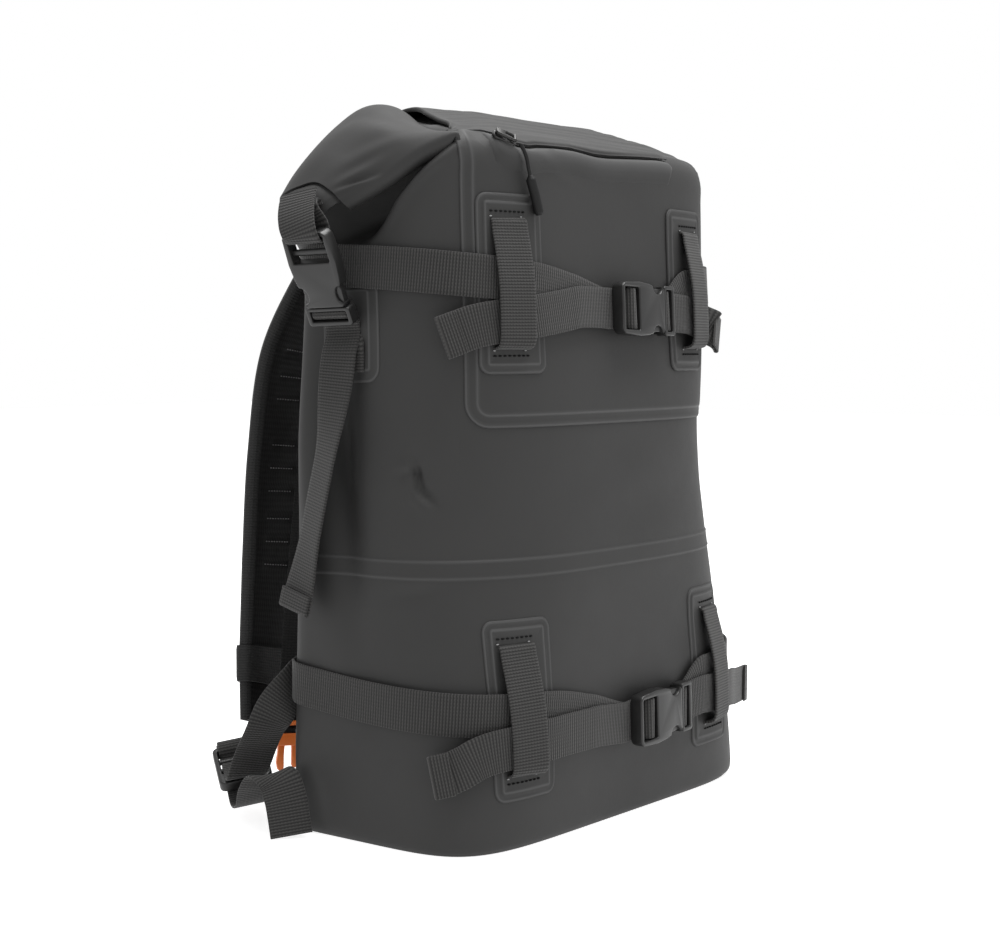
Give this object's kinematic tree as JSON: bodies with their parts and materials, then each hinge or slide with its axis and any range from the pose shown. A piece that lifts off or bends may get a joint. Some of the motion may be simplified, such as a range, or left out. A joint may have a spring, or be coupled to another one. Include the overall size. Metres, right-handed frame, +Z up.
{
  "type": "waterproof roll-top backpack",
  "caption": "Charcoal waterproof roll-top backpack that stands on its base, with a rolled and buckled mouth, welded front pocket, compression straps and padded shoulder straps",
  "frame": {"origin": "centre of the flat base, on the surface it stands on", "axes": "+Z up, the front with the pocket faces -Y, the shoulder straps are on +Y, +X is to the right of a person who looks at the front"},
  "size_m": [0.3708, 0.2487, 0.4369],
  "materials": {
    "coated_fabric": "matt charcoal waterproof coating",
    "webbing": "dark grey woven webbing with fine ribs",
    "black_plastic": "moulded black, slightly glossy edges",
    "strap_mesh": "black padded mesh",
    "orange_plastic": "moulded orange",
    "dark_metal": "dark plated zip slider"
  },
  "bodies": {
    "root": {"base_shell": "coated_fabric", "upper_shell": "coated_fabric", "rolled_mouth": "coated_fabric", "pocket_panel": "coated_fabric", "zip_strip": "coated_fabric", "zip_slider": "dark_metal", "zip_pull": "black_plastic", "loop_patch_upper_left": "coated_fabric", "strap_loop_upper_left": "webbing", "loop_patch_upper_right": "coated_fabric", "strap_loop_upper_right": "webbing", "loop_patch_lower_left": "coated_fabric", "strap_loop_lower_left": "webbing", "loop_patch_lower_right": "coated_fabric", "strap_loop_lower_right": "webbing", "upper_buckle_socket": "black_plastic", "upper_buckle_plug": "black_plastic", "upper_strap_left": "webbing", "upper_strap_right": "webbing", "lower_buckle_socket": "black_plastic", "lower_buckle_plug": "black_plastic", "lower_strap_left": "webbing", "lower_strap_right": "webbing", "side_patch_left": "coated_fabric", "side_patch_right": "coated_fabric", "closure_socket_left": "black_plastic", "closure_socket_right": "black_plastic", "closure_plug_left": "black_plastic", "closure_plug_right": "black_plastic", "closure_web_left": "webbing", "closure_web_right": "webbing", "closure_strap_left": "webbing", "closure_strap_right": "webbing", "shoulder_pad_left": "strap_mesh", "shoulder_pad_right": "strap_mesh", "pad_keeper_left": "webbing", "pad_keeper_right": "webbing", "ladder_lock_left": "black_plastic", "ladder_lock_right": "black_plastic", "lock_tab_left": "webbing", "lock_tab_right": "webbing", "shoulder_web_left": "webbing", "shoulder_web_right": "webbing", "chest_strap_left": "webbing", "chest_strap_right": "webbing", "chest_plug_left": "orange_plastic", "chest_socket_right": "black_plastic"}
  },
  "joints": []
}
